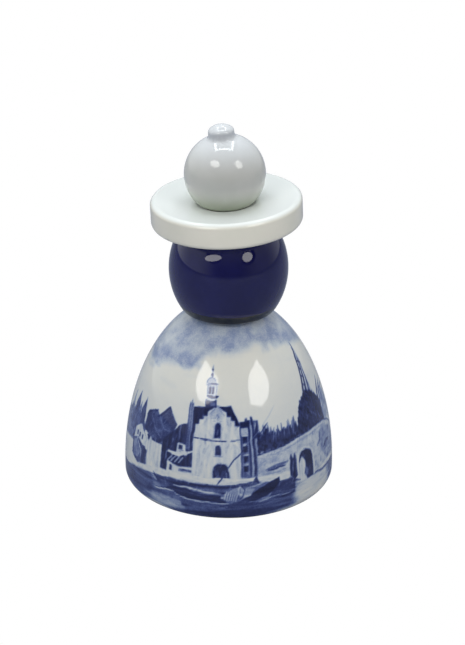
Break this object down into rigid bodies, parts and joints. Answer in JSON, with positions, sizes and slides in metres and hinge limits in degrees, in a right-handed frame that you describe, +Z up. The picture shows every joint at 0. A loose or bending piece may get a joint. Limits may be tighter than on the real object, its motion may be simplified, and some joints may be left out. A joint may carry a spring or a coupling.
{
  "type": "table bell",
  "caption": "Free-standing porcelain table bell: painted dome under a round head, flat disc and knobbed ball that turn on a hidden rod, with a wooden clapper on a swivel inside.",
  "frame": {"origin": "centre of the foot ring, on the table plane and on the dome's axis", "axes": "+Z up along the dome and the rod; the disc and ball lean towards -X; the painted gatehouse faces -Y"},
  "size_m": [0.09, 0.09, 0.1601],
  "materials": {
    "painted_porcelain": "clear glaze over blue brushwork",
    "cobalt_glaze": "glossy dark cobalt glaze",
    "white_glaze": "glossy white glaze",
    "grey_glaze": "glossy pale grey-green glaze",
    "soft_rubber": "matt",
    "silicone": "translucent white, matt",
    "nylon": "natural white, satin",
    "zinc_steel": "zinc plated, satin",
    "brass": "turned, lightly polished",
    "beech": "turned and oiled"
  },
  "bodies": {
    "bell": {"bell_body": "painted_porcelain", "tie_rod": "zinc_steel", "top_nut": "zinc_steel", "top_washer": "zinc_steel", "top_wedge_washer": "soft_rubber", "brim_pad": "soft_rubber", "neck_pad": "soft_rubber", "crown_bush": "nylon", "under_washer": "zinc_steel", "clamp_nut": "zinc_steel", "swivel_collar": "brass"},
    "head": {"head_barrel": "cobalt_glaze", "head_floor_bush": "nylon", "head_roof_bush": "nylon"},
    "brim": {"hat_brim": "white_glaze", "crown_pad": "soft_rubber"},
    "crown": {"hat_crown": "grey_glaze", "top_knob": "grey_glaze", "knob_sleeve": "silicone"},
    "swivel": {"swivel_eye": "brass"},
    "clapper": {"clapper_wire": "zinc_steel", "clapper_ball": "beech", "clapper_ferrule": "brass"}
  },
  "joints": [
    {"name": "head_turn", "type": "hinge", "parent": "bell", "child": "head", "pos_m": [0, 0, 0.07866], "axis": [0, 0, 1], "continuous": true},
    {"name": "brim_turn", "type": "hinge", "parent": "bell", "child": "brim", "pos_m": [-0.00056, 0, 0.11746], "axis": [-0.0432, 0, 0.9991], "continuous": true},
    {"name": "crown_turn", "type": "hinge", "parent": "bell", "child": "crown", "pos_m": [-0.00056, 0, 0.11746], "axis": [-0.0432, 0, 0.9991], "continuous": true},
    {"name": "clapper_swivel", "type": "hinge", "parent": "bell", "child": "swivel", "pos_m": [0, 0, 0.06076], "axis": [0, 0, 1], "continuous": true},
    {"name": "clapper_swing", "type": "hinge", "parent": "swivel", "child": "clapper", "pos_m": [0, 0, 0.05651], "axis": [0, 1, 0], "range_deg": [-45.2, 45.2]}
  ]
}
